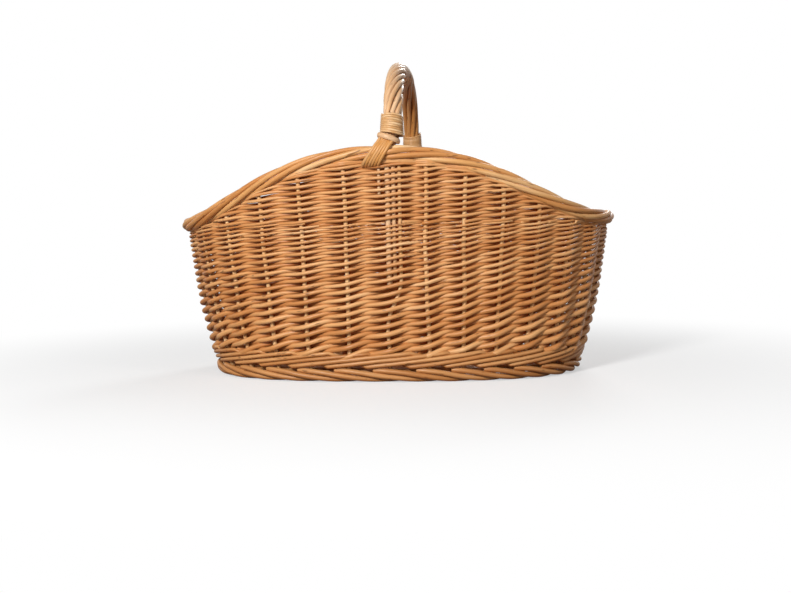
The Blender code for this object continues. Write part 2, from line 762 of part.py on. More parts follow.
def make_binding(name, facing, material):
    points = binding_points(facing)
    print("%s: least gap to itself %.2f mm" % (name, least_gap(points, BINDING_RADIUS) * 1000.0))
    tube(name, points, [BINDING_RADIUS] * len(points), STAKE_SIDE_COUNT, material)


def make_basket():
    stake_willow = willow("stake_willow", PEELED_WILLOW)
    weave_willow = willow("weave_willow", BUFF_WILLOW)
    handle_willow = willow("handle_willow", PALE_WILLOW)
    make_foot_ring(stake_willow)
    make_base(weave_willow, stake_willow)
    for stake in range(STAKE_COUNT):
        make_stake(stake, stake_willow)
    for index in range(WEAVER_COUNT):
        make_upsett(index, weave_willow)
        make_weaver(index, weave_willow)
    make_packing("packing_front", FRONT_STAKE, weave_willow)
    make_packing("packing_back", BACK_STAKE, weave_willow)
    make_bow(handle_willow)
    make_liner("handle_liner_front", -1.0, handle_willow)
    make_liner("handle_liner_back", 1.0, handle_willow)
    for rod in range(ROPE_RODS):
        make_rope_rod(rod, handle_willow)
    make_binding("binding_front", -1.0, handle_willow)
    make_binding("binding_back", 1.0, handle_willow)


clear_scene()
OVAL_TABLE = make_oval_table()
BOW_TABLE = make_bow_table()
PARTS = make_collection("foraging_basket")
CUTTERS = make_collection("cutters")
make_basket()
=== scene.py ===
import math

import bpy
import numpy as np
from mathutils import Matrix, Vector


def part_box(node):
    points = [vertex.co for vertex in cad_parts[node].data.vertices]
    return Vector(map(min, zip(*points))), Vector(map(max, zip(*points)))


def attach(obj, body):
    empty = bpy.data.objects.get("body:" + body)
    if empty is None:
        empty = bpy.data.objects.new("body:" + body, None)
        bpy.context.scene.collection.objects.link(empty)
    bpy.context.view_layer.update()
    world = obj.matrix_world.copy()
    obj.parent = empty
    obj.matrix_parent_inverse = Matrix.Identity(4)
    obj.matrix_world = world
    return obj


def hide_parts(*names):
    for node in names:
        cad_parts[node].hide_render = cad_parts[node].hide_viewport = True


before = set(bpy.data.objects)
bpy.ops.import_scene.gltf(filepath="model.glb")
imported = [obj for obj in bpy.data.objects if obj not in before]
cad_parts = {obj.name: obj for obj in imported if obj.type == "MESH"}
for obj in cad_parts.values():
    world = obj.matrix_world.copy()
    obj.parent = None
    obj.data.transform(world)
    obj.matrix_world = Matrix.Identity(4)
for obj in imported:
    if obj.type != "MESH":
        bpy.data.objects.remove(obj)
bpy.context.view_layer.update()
seed = 28
draw = np.random.default_rng(seed)

# the wall: a swelling oval, on which a place is a stake number and a height
wall = {
    "stakes": 28,
    "powers": (2.65, 2.45, 2.35, 2.35),
    "heights": (0.0063, 0.115, 0.222, 0.3635),
    "halfLengths": (0.2925, 0.323, 0.342, 0.358),
    "halfWidths": (0.182, 0.202, 0.216, 0.223),
    "rimEnds": (0.2575, 0.262),
    "rimPeak": 0.3635,
    "rimRadius": 0.0114,
    "humpPowers": (3.8, 4.2),
    "endOverhang": 0.005,
    "frameStep": 0.02,
    "shiftedNumbers": (0, 3, 7, 19, 20, 21, 22, 24, 26, 27, 28),
    "shiftBays": (-0.62, -0.42, 0.0, 0.0, 0.07, 0.0, -0.08, -0.30, -0.48, -0.58, -0.62),
    "tableSteps": 5600,
}
frontStake = 21
backStake = 7
handleAside = 0.0125  # the handle stands this far to the right of the middle
bayLength = 0.0625  # of the bays beside the handle
sinePitches = (1.0, 1.7, 2.9)
sinePeak = 1.8  # about what three sines of unlike length reach together


def unitOval(angle, height):
    # superellipse: each of cosine and sine keeps its sign and is raised to 2 over the power
    c, s = np.cos(angle), np.sin(angle)
    share = 2.0 / np.interp(height, wall["heights"], wall["powers"])
    return np.sign(c) * np.abs(c) ** share, np.sign(s) * np.abs(s) ** share


def numberTable():
    # angles round the oval, and the stake number at each, by length along the shoulder
    angle = np.linspace(0.0, 2.0 * math.pi, wall["tableSteps"] + 1)
    x, y = unitOval(angle, wall["heights"][2])
    step = np.hypot(np.diff(x * wall["halfLengths"][2]), np.diff(y * wall["halfWidths"][2]))
    number = np.concatenate(([0.0], np.cumsum(step)))
    return angle, number * wall["stakes"] / number[-1]


ovalAngles, ovalNumbers = numberTable()


def angleAt(number):
    # the bays are uneven: a stake stands its shift past its even place
    number = np.mod(number, wall["stakes"])
    even = number + np.interp(number, wall["shiftedNumbers"], wall["shiftBays"])
    return np.interp(np.mod(even, wall["stakes"]), ovalNumbers, ovalAngles)


def wallNormal(number, height):
    # gradient of the superellipse at the place, level and one long
    x, y = unitOval(angleAt(number), height)
    power = np.interp(height, wall["heights"], wall["powers"]) - 1.0
    nx = np.sign(x) * np.abs(x) ** power / np.interp(height, wall["heights"], wall["halfLengths"])
    ny = np.sign(y) * np.abs(y) ** power / np.interp(height, wall["heights"], wall["halfWidths"])
    size = np.hypot(nx, ny)
    return np.stack((nx / size, ny / size, np.zeros_like(size)), axis=-1)


def wallPlace(number, height, out=0.0):
    # the oval's point at the stake number, scaled to the wall's size at the height, moved out
    number, height, out = np.broadcast_arrays(*[np.asarray(a, float) for a in (number, height, out)])
    x, y = unitOval(angleAt(number), height)
    flat = np.stack((
        x * np.interp(height, wall["heights"], wall["halfLengths"]),
        y * np.interp(height, wall["heights"], wall["halfWidths"]),
        height,
    ), axis=-1)
    return flat + wallNormal(number, height) * out[..., None]


def hump(number):
    # 0 at the ends and 1 at front and back, as a power of the sine, steeper on the right
    angle = angleAt(number)
    power = np.where(np.cos(angle) > 0.0, wall["humpPowers"][1], wall["humpPowers"][0])
    return np.abs(np.sin(angle)) ** power


def rimHeight(number):
    # from the height of the end on its side up to the peak by the hump
    right = 0.5 + 0.5 * np.cos(angleAt(number))
    end = wall["rimEnds"][0] + (wall["rimEnds"][1] - wall["rimEnds"][0]) * right
    return end + (wall["rimPeak"] - end) * hump(number) - wall["rimRadius"]


def rimMiddle(number):
    return wallPlace(number, rimHeight(number), wall["endOverhang"] * (1.0 - hump(number)))


def rimFrame(number):
    # middle of the border, its outward side and its upper side, from points just before and after
    number = np.asarray(number, float)
    middle = rimMiddle(number)
    forward = rimMiddle(number + wall["frameStep"]) - rimMiddle(number - wall["frameStep"])
    forward /= np.linalg.norm(forward, axis=-1, keepdims=True)
    outward = wallNormal(number, middle[..., 2])
    return middle, outward, np.cross(outward, forward)


def smoothLine(points, perSpan):
    # Catmull-Rom through the points: each span is a cubic of its two ends and their neighbours
    p = np.asarray(points, float)
    p = np.concatenate((2 * p[:1] - p[1:2], p, 2 * p[-1:] - p[-2:-1]))
    t = np.linspace(0.0, 1.0, perSpan, endpoint=False)[None, :, None]
    a, b, c, d = (p[i:len(p) - 3 + i][:, None, :] for i in range(4))
    bend, twist = 2 * a - 5 * b + 4 * c - d, 3 * b - a - 3 * c + d
    line = 0.5 * (2 * b + (c - a) * t + bend * t ** 2 + twist * t ** 3)
    return np.concatenate((line.reshape(-1, p.shape[1]), p[-2:-1]))


def waver(x, size, length):
    # a slow uneven wave: three sines of unlike length with drawn phases
    phase = draw.uniform(0.0, 2.0 * math.pi, len(sinePitches))
    return size * sum(np.sin(x * f / length + q) for f, q in zip(sinePitches, phase)) / sinePeak


# rods: round profiles carried along paths
rodEnd = {"radiusShare": 0.8, "noseShare": 0.2}


def rodGrid(rod, sides):
    # rings round the path: middle + radius * (cosine * outward side * flat + sine * cross side);
    # painted shade is 1 on the side that faces a stake: outward where the rod swings in, and inward
    # where it swings out; a rod given painted shade on its underside has a share of 1 there
    path = rod["path"]
    radius = np.broadcast_to(rod["radius"], len(path)).astype(float)
    along = np.gradient(path, axis=0)
    along /= np.linalg.norm(along, axis=1, keepdims=True)
    narrow = rodEnd["radiusShare"]
    radius = np.concatenate(([narrow * radius[0]], radius, [narrow * radius[-1]]))
    guide = np.broadcast_to(rod["guide"], path.shape)
    nose = rodEnd["noseShare"] * radius[[0, -1]][:, None]
    path = np.concatenate((path[:1] - along[:1] * nose[0], path, path[-1:] + along[-1:] * nose[1]))
    along = np.concatenate((along[:1], along, along[-1:]))
    guide = np.concatenate((guide[:1], guide, guide[-1:]))
    side = guide - along * np.sum(guide * along, axis=1, keepdims=True)
    side /= np.linalg.norm(side, axis=1, keepdims=True)
    cross = np.cross(along, side)
    turn = np.arange(sides) * 2.0 * math.pi / sides
    c = np.cos(turn)[None, :, None] * rod.get("flat", 1.0)
    s = np.sin(turn)[None, :, None]
    rings = path[:, None] + radius[:, None, None] * (side[:, None] * c + cross[:, None] * s)
    length = np.concatenate(([0.0], np.cumsum(np.linalg.norm(np.diff(path, axis=0), axis=1))))
    grain = np.stack(np.broadcast_arrays(
        length[:, None] + rod["start"],
        radius[:, None] * np.cos(turn)[None, :] + rod["start"],
        radius[:, None] * np.sin(turn)[None, :],
    ), axis=-1)
    swing = np.broadcast_to(rod.get("swing", 0.0), len(rod["path"]))
    swing = np.concatenate((swing[:1], swing, swing[-1:]))
    # painted shade: darker on the underside and on the side that faces a stake
    under = rod.get("under", 0.0) * np.sin(turn)[None, :]
    paintedShade = np.clip(under - swing[:, None] * np.cos(turn)[None, :], 0.0, 1.0)
    return rings, grain, paintedShade


def addAttribute(mesh, name, kind, field, values):
    mesh.attributes.new(name, kind, "POINT").data.foreach_set(field, values)


def makeRods(name, rods, sides, finish, stands, endFinish):
    # one mesh of many rods: quads between rings, and a flat face on each end in the end's finish
    points, grains, tones, paintedShades, corners, sizes, kinds = [], [], [], [], [], [], []
    base = 0
    for rod in rods:
        rings, grain, paintedShade = rodGrid(rod, sides)
        count = len(rings)
        index = base + np.arange(count * sides).reshape(count, sides)
        following = np.roll(index, -1, axis=1)
        quads = np.stack((index[:-1], following[:-1], following[1:], index[1:]), axis=-1).reshape(-1, 4)
        corners += [quads.ravel(), index[0][::-1], index[-1]]
        sizes += [np.full(len(quads), 4), np.array([sides, sides])]
        kinds += [np.zeros(len(quads), int), np.array([1, 1])]
        points.append(rings.reshape(-1, 3))
        grains.append(grain.reshape(-1, 3))
        tone = np.broadcast_to(rod["tone"], count - 2)
        tones.append(np.repeat(np.concatenate((tone[:1], tone, tone[-1:])), sides))
        paintedShades.append(paintedShade.ravel())
        base += count * sides
    points, corners, sizes = np.concatenate(points), np.concatenate(corners), np.concatenate(sizes)
    mesh = bpy.data.meshes.new(name)
    mesh.vertices.add(len(points))
    mesh.vertices.foreach_set("co", points.ravel())
    mesh.loops.add(len(corners))
    mesh.loops.foreach_set("vertex_index", corners)
    mesh.polygons.add(len(sizes))
    mesh.polygons.foreach_set("loop_start", np.concatenate(([0], np.cumsum(sizes)[:-1])))
    mesh.polygons.foreach_set("use_smooth", np.concatenate(kinds) == 0)
    mesh.polygons.foreach_set("material_index", np.concatenate(kinds))
    mesh.update(calc_edges=True)
    addAttribute(mesh, "grain", "FLOAT_VECTOR", "vector", np.concatenate(grains).ravel())
    addAttribute(mesh, "tone", "FLOAT", "value", np.concatenate(tones))
    addAttribute(mesh, "paintedShadeShare", "FLOAT", "value", np.concatenate(paintedShades))
    mesh.materials.append(finish)
    mesh.materials.append(endFinish)
    piece = bpy.data.objects.new(name, mesh)
    bpy.context.scene.collection.objects.link(piece)
    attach(piece, "root")
    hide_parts(*stands)


grainLength = 40.0  # rods start at any place along this length of the grain pattern


def newRod(path, radius, guide, tone=None, **more):
    # a rod with its own tone and its own place in the grain pattern
    ownTone = draw.uniform(0.0, 1.0)
    return {"path": path, "radius": radius, "guide": guide, "start": draw.uniform(0.0, grainLength),
            "tone": ownTone if tone is None else tone, **more}


# finishes
def addNode(tree, kind, **values):
    node = tree.nodes.new(kind)
    for key, value in values.items():
        if key in node.inputs.keys():
            node.inputs[key].default_value = value
        else:
            setattr(node, key, value)
    return node


def setRange(node, fromLow, fromHigh, low, high):
    for socket, number in zip(("From Min", "From Max", "To Min", "To Max"), (fromLow, fromHigh, low, high)):
        node.inputs[socket].default_value = number


def willowFinish(name, look):
    # tone and soft patches choose a colour, fine streaks and specks run along the rod, and its
    # side that faces a stake or lies underneath gets painted shade, darker and redder
    material = bpy.data.materials.new(name)
    material.use_nodes = True
    tree = material.node_tree
    link = tree.links.new
    shader = tree.nodes["Principled BSDF"]
    grain = addNode(tree, "ShaderNodeAttribute", attribute_name="grain")
    tone = addNode(tree, "ShaderNodeAttribute", attribute_name="tone")

    def grainNoise(stretch, detail):
        scaled = addNode(tree, "ShaderNodeVectorMath", operation="MULTIPLY")
        scaled.inputs[1].default_value = stretch
        link(grain.outputs["Vector"], scaled.inputs[0])
        noise = addNode(tree, "ShaderNodeTexNoise", Scale=1.0, Detail=detail)
        link(scaled.outputs[0], noise.inputs["Vector"])
        return noise.outputs["Fac"]

    def mapped(value, fromRange, low, high):
        node = addNode(tree, "ShaderNodeMapRange")
        setRange(node, *fromRange, low, high)
        link(value, node.inputs["Value"])
        return node.outputs["Result"]

    patches = grainNoise(look["patches"], detail=2.0)
    streaks = grainNoise(look["streaks"], detail=3.0)
    specks = grainNoise(look["specks"], detail=1.0)
    place = addNode(tree, "ShaderNodeMath", operation="ADD")
    toneEnds = (0.5 - look["toneSpread"], 0.5 + look["toneSpread"])
    link(mapped(tone.outputs["Fac"], (0.0, 1.0), *toneEnds), place.inputs[0])
    link(mapped(patches, look["patchRange"], -look["patchSpread"], look["patchSpread"]), place.inputs[1])
    ramp = addNode(tree, "ShaderNodeValToRGB")
    while len(ramp.color_ramp.elements) < len(look["colours"]):
        ramp.color_ramp.elements.new(0.5)
    for index, (stop, colour) in enumerate(zip(ramp.color_ramp.elements, look["colours"])):
        stop.position = index / (len(look["colours"]) - 1)
        stop.color = (*colour, 1.0)
    link(place.outputs[0], ramp.inputs["Fac"])
    streaked = addNode(tree, "ShaderNodeMix", data_type="RGBA", blend_type="MULTIPLY")
    streaked.inputs["Factor"].default_value = 1.0
    link(ramp.outputs["Color"], streaked.inputs["A"])
    streakShade = addNode(tree, "ShaderNodeCombineColor")
    lightest = 1.0 + look["streakLift"] * look["streakDepth"]
    for channel, depth in zip(("Red", "Green", "Blue"), look["streakChannels"]):
        darkest = 1.0 - look["streakDepth"] * depth
        link(mapped(streaks, look["streakRange"], darkest, lightest), streakShade.inputs[channel])
    link(streakShade.outputs[0], streaked.inputs["B"])
    marked = addNode(tree, "ShaderNodeMix", data_type="RGBA")
    link(mapped(specks, look["speckRange"], 0.0, look["speckDepth"]), marked.inputs["Factor"])
    link(streaked.outputs["Result"], marked.inputs["A"])
    marked.inputs["B"].default_value = (*look["speckColour"], 1.0)
    # painted shade: each point's share darkens and reddens the colour
    paintedShadeShare = addNode(tree, "ShaderNodeAttribute", attribute_name="paintedShadeShare")
    paintedShadeMix = addNode(tree, "ShaderNodeMix", data_type="RGBA", blend_type="MULTIPLY")
    link(paintedShadeShare.outputs["Fac"], paintedShadeMix.inputs["Factor"])
    link(marked.outputs["Result"], paintedShadeMix.inputs["A"])
    paintedShadeMix.inputs["B"].default_value = (*look["paintedShadeColour"], 1.0)
    link(paintedShadeMix.outputs["Result"], shader.inputs["Base Color"])
    smoothest, roughest = (look["roughness"] + change for change in look["roughnessChanges"])
    link(mapped(patches, look["patchRange"], smoothest, roughest), shader.inputs["Roughness"])
    bump = addNode(tree, "ShaderNodeBump", Strength=look["bump"], Distance=look["bumpDistance"])
    link(streaks, bump.inputs["Height"])
    link(bump.outputs[0], shader.inputs["Normal"])
    shader.inputs["Specular IOR Level"].default_value = look["specular"]
    shader.inputs["Coat Weight"].default_value = look["coat"]
    shader.inputs["Coat Roughness"].default_value = look["coatRoughness"]
    return material


weaveLook = {
    "colours": ((0.46, 0.170, 0.042), (0.58, 0.252, 0.080), (0.70, 0.362, 0.142), (0.80, 0.495, 0.245)),
    "patches": (9.0, 60.0, 60.0), "streaks": (30.0, 700.0, 700.0), "specks": (60.0, 300.0, 300.0),
    "patchRange": (0.3, 0.7), "streakRange": (0.32, 0.68), "speckRange": (0.66, 0.74),
    "toneSpread": 0.25, "patchSpread": 0.20, "streakDepth": 0.22, "speckDepth": 0.7,
    "streakChannels": (0.6, 0.9, 1.15), "streakLift": 0.3,
    # dark specks, and the colour of the painted shade
    "speckColour": (0.16, 0.05, 0.012), "paintedShadeColour": (0.62, 0.28, 0.04),
    "roughness": 0.44, "roughnessChanges": (-0.06, 0.08), "bump": 0.35, "bumpDistance": 0.0006,
    "specular": 0.25, "coat": 0.10, "coatRoughness": 0.26,
}
# the stakes' palest colour, which the uprights take, is painted light where they catch the lamp between the
# rods
stakeLook = {**weaveLook,
    "colours": ((0.48, 0.185, 0.045), (0.59, 0.265, 0.082), (0.69, 0.360, 0.130), (0.84, 0.560, 0.290)),
    "toneSpread": 0.36}
# the foot border and the upsett take a darker copy of the weave's colours: painted shade, for the less
# light that reaches the lower wall
footPaintedShadeLook = {**weaveLook,
    "colours": ((0.37, 0.140, 0.032), (0.47, 0.200, 0.060), (0.57, 0.275, 0.098), (0.67, 0.370, 0.155))}
handleLook = {**weaveLook,
    "colours": ((0.58, 0.270, 0.075), (0.64, 0.350, 0.145), (0.72, 0.460, 0.260), (0.79, 0.560, 0.350)),
    "toneSpread": 0.42, "roughness": 0.38}
skeinLook = {**handleLook,
    "colours": ((0.50, 0.250, 0.090), (0.62, 0.345, 0.140), (0.72, 0.450, 0.220), (0.82, 0.580, 0.330)),
    "patches": (35.0, 90.0, 90.0), "toneSpread": 0.05, "patchSpread": 0.42, "roughness": 0.34}
pithLook = {**weaveLook,
    "colours": ((0.64, 0.38, 0.17), (0.72, 0.46, 0.22), (0.78, 0.54, 0.28), (0.82, 0.60, 0.34)),
    "streakDepth": 0.3, "roughness": 0.7, "coat": 0.0}
weaveWillow = willowFinish("weaveWillow", weaveLook)
stakeWillow = willowFinish("stakeWillow", stakeLook)
footPaintedShadeWillow = willowFinish("footPaintedShadeWillow", footPaintedShadeLook)
handleWillow = willowFinish("handleWillow", handleLook)
skeinWillow = willowFinish("skeinWillow", skeinLook)
pithWillow = willowFinish("pithWillow", pithLook)
print("finishes made")

# stakes, each bent over into the rolled border
stakes = {
    "radius": 0.0033, "bottom": 0.010, "borderRadius": 0.0044, "tipRadius": 0.0036, "sides": 12,
    "rollRadius": 0.0071, "startAngle": -150.0, "strandsRound": 5, "joinBays": 0.30, "endBays": 4.1,
    "bendDrop": 0.0135, "bendPoints": (0.020, 0.007), "uprightPoints": 14, "borderPoints": 17, "perSpan": 4,
    "leanStart": 0.085, "leanEnd": 0.160, "aside": 0.0092, "besideRadius": 0.0029,
    "spread": 0.0050, "spreadReach": 0.036, "spreadStrands": 3,
    "swayBays": (0.012, 0.05), "bulge": (0.0004, 0.04), "bendShare": 0.05, "uprightPaintedLight": 1.1,
}


def borderPlace(stake, number):
    # helix round the border's middle line: one turn in as many bays as there are strands,
    # pushed outward or inward where the handle's bow comes up between the strands
    middle, outward, upward = rimFrame(number)
    angle = np.radians(stakes["startAngle"] + 360.0 / stakes["strandsRound"] * (np.asarray(number) - stake))
    out, up = np.cos(angle)[..., None], np.sin(angle)[..., None]
    radial = outward * out + upward * up
    away = np.clip(np.abs(middle[..., 0] - handleAside) / stakes["spreadReach"], 0.0, 1.0)
    nearest = frontStake if np.mean(middle[..., 1]) < 0.0 else backStake
    side = 1.0 if 1 <= (nearest - stake) % wall["stakes"] <= stakes["spreadStrands"] else -1.0
    spread = side * stakes["spread"] * (1.0 + np.cos(math.pi * away)) / 2.0
    return middle + stakes["rollRadius"] * radial + outward * spread[..., None], radial


def atHandle(stake):
    return stake in (frontStake, backStake)


def besideHandle(facing, right, height, out=0.0):
    # a place at a leg of the handle: right is along the wall as seen from outside
    height = np.asarray(height, float)
    y = facing * (np.interp(height, wall["heights"], wall["halfWidths"]) + out)
    return np.stack(np.broadcast_arrays(handleAside - facing * right, y, height), axis=-1)


def stakeRod(stake):
    top = float(rimHeight(stake)) - stakes["bendDrop"]
    lowBend, highBend = stakes["bendPoints"]
    straight = np.linspace(stakes["bottom"], top - lowBend, stakes["uprightPoints"])
    heights = np.concatenate((straight, [top - highBend, top]))
    number = stake + waver(heights, *stakes["swayBays"])
    upright = wallPlace(number, heights, waver(heights, *stakes["bulge"]))
    start = float(stake)
    if atHandle(stake):
        facing = -1.0 if stake == frontStake else 1.0
        lean = stakes["leanEnd"] - stakes["leanStart"]
        moved = np.clip((heights - stakes["leanStart"]) / lean, 0.0, 1.0)
        moved = (moved * moved * (3.0 - 2.0 * moved))[:, None]
        beside = besideHandle(facing, stakes["aside"], heights)
        upright = upright * (1.0 - moved) + beside * moved
        start += (stakes["aside"] - facing * handleAside) / bayLength
    numbers = np.linspace(start + stakes["joinBays"], stake + stakes["endBays"], stakes["borderPoints"])
    border, radial = borderPlace(stake, numbers)
    line = smoothLine(np.concatenate((upright, border)), stakes["perSpan"])
    share = np.linspace(0.0, 1.0, len(line))
    bend = stakes["perSpan"] * len(upright) / len(line)
    bendEnds = (bend - stakes["bendShare"], bend + stakes["bendShare"])
    thick = stakes["besideRadius"] if atHandle(stake) else stakes["radius"]
    radius = np.interp(share, (0.0, *bendEnds, 1.0),
                       (thick, thick, stakes["borderRadius"], stakes["tipRadius"]))
    guides = np.concatenate((wallNormal(float(stake), heights), radial))
    # the upright is painted pale, painted light for the lamp it catches, and its strand of the border has
    # its own tone
    tone = np.interp(share, bendEnds, (stakes["uprightPaintedLight"], draw.uniform(0.0, 1.0)))
    return newRod(line, radius, smoothLine(guides, stakes["perSpan"]), tone=tone)


for stake in range(wall["stakes"]):
    name = "stake_%02d" % (stake + 1)
    makeRods("willowStake_%02d" % (stake + 1), [stakeRod(stake)], stakes["sides"], stakeWillow,
             [name], pithWillow)
print("stakes and border made")

# randing: rods over one and under one, side by side, that climb about two rows a bay
randing = {
    "bottom": 0.0500, "top": 0.2470, "rods": 60, "stepsPerBay": 14, "sides": 10,
    "rowMarks": (-2.0, 0.0, 28.0, 38.0), "pitches": (0.0080, 0.0080, 0.0043, 0.0027), "tableSteps": 400,
    "lowestRow": -2.0, "highestStart": -0.25, "startStep": 0.25,
    "fullness": 0.540, "leftFullness": 0.585, "rightFullness": 0.640, "thicknesses": (0.94, 1.06),
    "legHalfBays": 0.24, "legBottom": 0.125, "legBlend": 0.04, "bayWave": 0.42, "waveStart": 0.17,
    "rimGap": 0.0090, "layer": 0.0080, "thinPower": 0.7, "thinnest": 0.0010,
    "drift": 0.0012, "driftWaves": (3, 5, 8), "sag": 0.0070, "waver": (0.0004, 2.0),
    "swingRound": 0.97, "endPaintedShade": 0.35,
}
driftPhases = draw.uniform(0.0, 2.0 * math.pi, len(randing["driftWaves"]))


def rowDrift(number, height):
    # all rows together sag at front and back and rise and fall slowly round the basket, and lie
    # level at the foot and the top
    turn = 2.0 * math.pi * np.asarray(number) / wall["stakes"]
    wave = sum(np.sin(k * turn + q) for k, q in zip(randing["driftWaves"], driftPhases)) / sinePeak
    share = np.clip((height - randing["bottom"]) / (randing["top"] - randing["bottom"]), 0.0, 1.0)
    return (randing["sag"] * np.cos(2.0 * turn) + randing["drift"] * wave) * np.sin(math.pi * share)


def bayWave(number):
    # rods lie flatter before a stake and climb faster after it: the place in its bay, moved by a sine
    return randing["bayWave"] * np.sin(2.0 * math.pi * (number - randing["waveStart"])) / (2.0 * math.pi)


def swingOf(phase):
    # 1 outside a stake and -1 inside it, nearly straight between: arcsine of a cosine, rounded at
    # the stakes
    return np.arcsin(randing["swingRound"] * np.cos(math.pi * phase)) / math.asin(randing["swingRound"])


def underBorder(level, ceiling, layer):
    # within a layer under the ceiling a row sinks and thins, as an exponential of how far its
    # own level has come into the layer
    squeeze = np.exp(-np.maximum(level - ceiling + layer, 0.0) / layer)
    return np.where(level > ceiling - layer, ceiling - layer * squeeze, level), squeeze


def legWarp(number, height):
    # the stake number by which a rod passes out and in: it stands still across the three rods
    # of a handle leg, whose middle lies beside the stake, and catches up within a bay
    legs = np.clip((height - randing["legBottom"]) / randing["legBlend"], 0.0, 1.0)
    half = randing["legHalfBays"] * legs
    halfRound = wall["stakes"] / 2.0
    for stake, way in ((frontStake, 1.0), (backStake, -1.0)):
        offset = way * handleAside / bayLength * legs
        away = np.mod(number - stake - offset + halfRound, wall["stakes"]) - halfRound
        passed = np.clip((np.abs(away) - half) / (1.0 - half), 0.0, 1.0) * (1.0 + np.sign(away) * offset)
        number = np.where(np.abs(away) < 1.0, number - away - offset + np.sign(away) * passed, number)
    return number


# the pitch of each row and the height up to it, scaled so that the last row ends at the top
rowTable = np.linspace(randing["rowMarks"][0], randing["rowMarks"][-1], randing["tableSteps"] + 1)
pitchTable = np.interp(rowTable, randing["rowMarks"], randing["pitches"])
climbTable = np.concatenate(([0.0], np.cumsum((pitchTable[1:] + pitchTable[:-1]) / 2.0)))
climbTable *= rowTable[1] - rowTable[0]
climbTable -= np.interp(0.0, rowTable, climbTable)
pitchTable *= (randing["top"] - randing["bottom"]) / climbTable[-1]
climbTable *= (randing["top"] - randing["bottom"]) / climbTable[-1]


def randingRod(index):
    # a rod's row grows evenly from bay to bay; neighbours are one row apart and pass on opposite
    # sides of a stake; each starts at its innermost place below the first row, and is fuller towards
    # both ends of the basket, where its colour also gets painted shade, darker
    perBay = randing["rods"] / wall["stakes"]
    starts = np.arange(randing["lowestRow"], randing["highestStart"], randing["startStep"])
    start = starts[np.argmin(np.cos(math.pi * ((starts + index) / perBay + index)))]
    row = np.arange(start, randing["rowMarks"][-1], perBay / randing["stepsPerBay"])
    number = (row + index) / perBay
    pitch = np.interp(row, rowTable, pitchTable)
    level = randing["bottom"] + np.interp(row, rowTable, climbTable)
    phase = legWarp(number, level) + index
    level = level + perBay * pitch * bayWave(number) + rowDrift(number, level)
    level = level + waver(row, *randing["waver"])
    height, squeeze = underBorder(level, rimHeight(number) - randing["rimGap"], randing["layer"])
    towardsRight = np.cos(2.0 * math.pi * number / wall["stakes"])
    atEnd = towardsRight ** 2
    endFullness = np.where(towardsRight > 0.0, randing["rightFullness"], randing["leftFullness"])
    fullness = randing["fullness"] + (endFullness - randing["fullness"]) * atEnd
    radius = pitch * fullness * squeeze ** randing["thinPower"] * draw.uniform(*randing["thicknesses"])
    radius = np.maximum(radius, randing["thinnest"])
    swing = swingOf(phase)
    path = wallPlace(number, height, swing * (stakes["radius"] + radius))
    made = newRod(path, radius, wallNormal(number, height), swing=swing)
    # painted shade: the tone drops towards both ends of the basket, where less light falls
    made["tone"] = made["tone"] - randing["endPaintedShade"] * atEnd
    return made


weavers = 4
for group in range(weavers):
    rods = [randingRod(index) for index in range(group, randing["rods"], weavers)]
    makeRods("randing_%d" % (group + 1), rods, randing["sides"], weaveWillow,
             ["side_weaver_%d" % (group + 1)], pithWillow)
print("randing made")

# packing: rods that fill each hump and are squeezed down along the border at their ends
packing = {
    "pitch": 0.0044, "pitchSpread": 0.10, "fullness": 0.550, "risePerBay": 0.0062, "waveShare": 1.5,
    "rimGap": 0.0106, "slopeGap": 0.0076, "gapHumps": (0.7, 1.0), "layer": 0.010, "thinnest": 0.0023,
    "pastLeft": 0.018, "pastRight": 0.026, "pastSpread": 0.003, "under": 0.0026, "waver": (0.0003, 0.9),
    "stepsPerBay": 12, "sides": 10, "halfBays": 8, "buttShare": 0.15, "buttGap": 0.002, "buttBays": 2,
}


def packingRods(middle):
    # parallel rods that rise a little to the right, from the randing or the border to the border
    rods = []
    steps = packing["stepsPerBay"]
    number = np.arange(-packing["halfBays"] * steps, packing["halfBays"] * steps + 1) / steps
    rise = packing["risePerBay"] * (number + packing["waveShare"] * bayWave(number))
    gap = np.interp(hump(middle + number), packing["gapHumps"], (packing["slopeGap"], packing["rimGap"]))
    ceiling = rimHeight(middle + number) - gap
    height = randing["top"] - rise[-1]
    row = 0
    while height < float(rimHeight(middle)) - rise[0]:
        pitch = packing["pitch"] * (1.0 + packing["pitchSpread"] * draw.uniform(-1.0, 1.0))
        level = height + pitch / 2 + rise
        height += pitch
        row += 1
        past = np.where(number < 0.0, packing["pastLeft"], packing["pastRight"])
        past = past + packing["pastSpread"] * draw.uniform()
        inside = np.nonzero((ceiling > level - past) & (level > randing["top"] - packing["under"]))[0]
        if len(inside) < steps:
            continue
        first, last = inside[0], inside[-1]
        # some rods stop short of the border with a blunt end that shows
        bluntLeft, bluntRight = draw.uniform(size=2) < packing["buttShare"]
        full = np.nonzero((ceiling > level + packing["buttGap"]) & (level > randing["top"]))[0]
        if len(full) > packing["buttBays"] * steps:
            first = full[0] if bluntLeft else first
            last = full[-1] if bluntRight else last
        kept = slice(first, last + 1)
        place = middle + number[kept]
        phase = legWarp(place, level[kept]) + row
        uneven = level[kept] + waver(place, *packing["waver"])
        sunk, squeeze = underBorder(uneven, ceiling[kept], packing["layer"])
        radius = pitch * packing["fullness"] * squeeze ** randing["thinPower"]
        radius = np.maximum(radius, packing["thinnest"])
        swing = swingOf(phase)
        path = wallPlace(place, sunk, swing * (stakes["radius"] + radius))
        rods.append(newRod(path, radius, wallNormal(place, sunk), swing=swing))
    return rods


makeRods("packingFront", packingRods(frontStake), packing["sides"], weaveWillow,
         ["packing_front"], pithWillow)
makeRods("packingBack", packingRods(backStake), packing["sides"], weaveWillow,
         ["packing_back"], pithWillow)
print("packing made")

